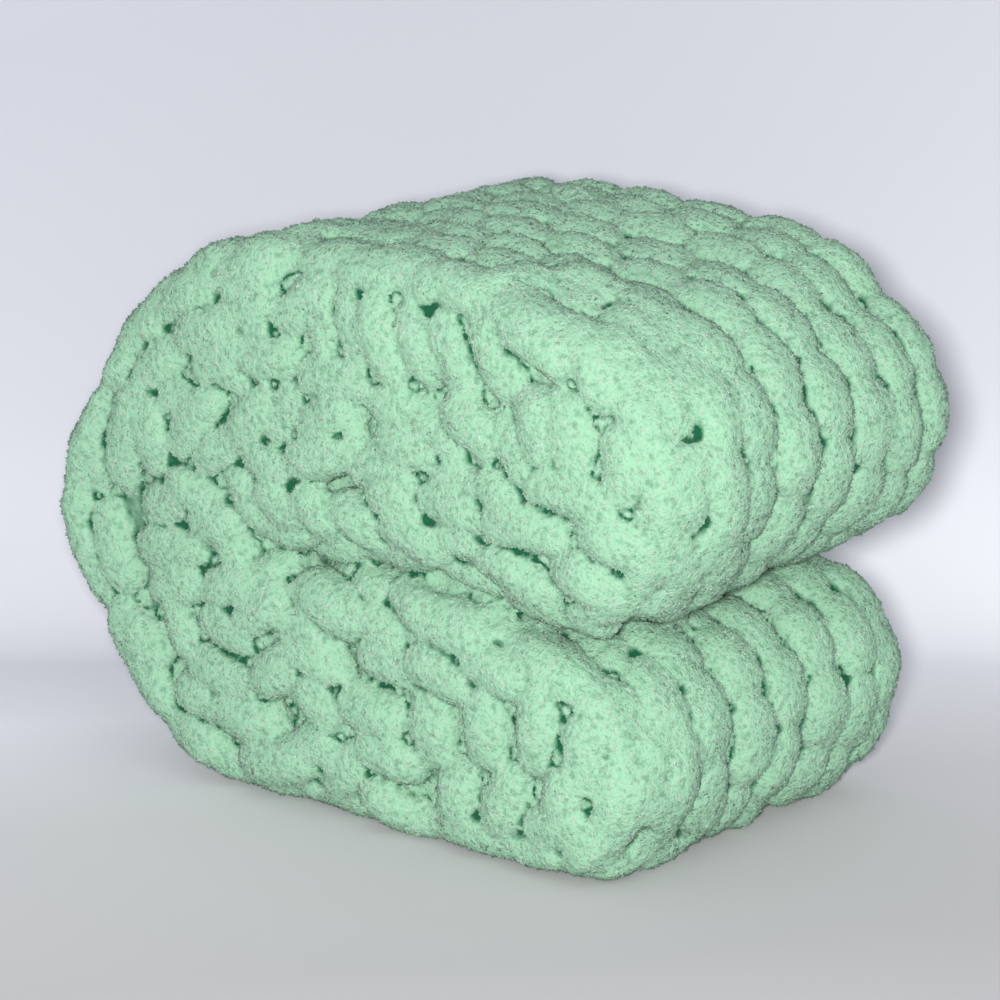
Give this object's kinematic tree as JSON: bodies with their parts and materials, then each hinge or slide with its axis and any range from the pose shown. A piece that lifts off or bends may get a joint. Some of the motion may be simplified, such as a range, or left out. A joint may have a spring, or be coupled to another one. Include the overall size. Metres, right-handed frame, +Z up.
{
  "type": "folded chunky knit blanket",
  "caption": "Soft chunky chenille knit blanket in mint green, doubled and folded into a thick bundle that stands on its lowest layer.",
  "frame": {"origin": "centre of the bounding box in plan, on the ground under the bundle", "axes": "+X to the two turned ends, along the bundle; +Y to the doubled edge at the back; +Z up through the layers"},
  "size_m": [0.443, 0.254, 0.3169],
  "materials": {
    "chenille_knit": "deep soft velvety pile, fully matt"
  },
  "bodies": {
    "root": {"blanket": "chenille_knit"}
  },
  "joints": []
}
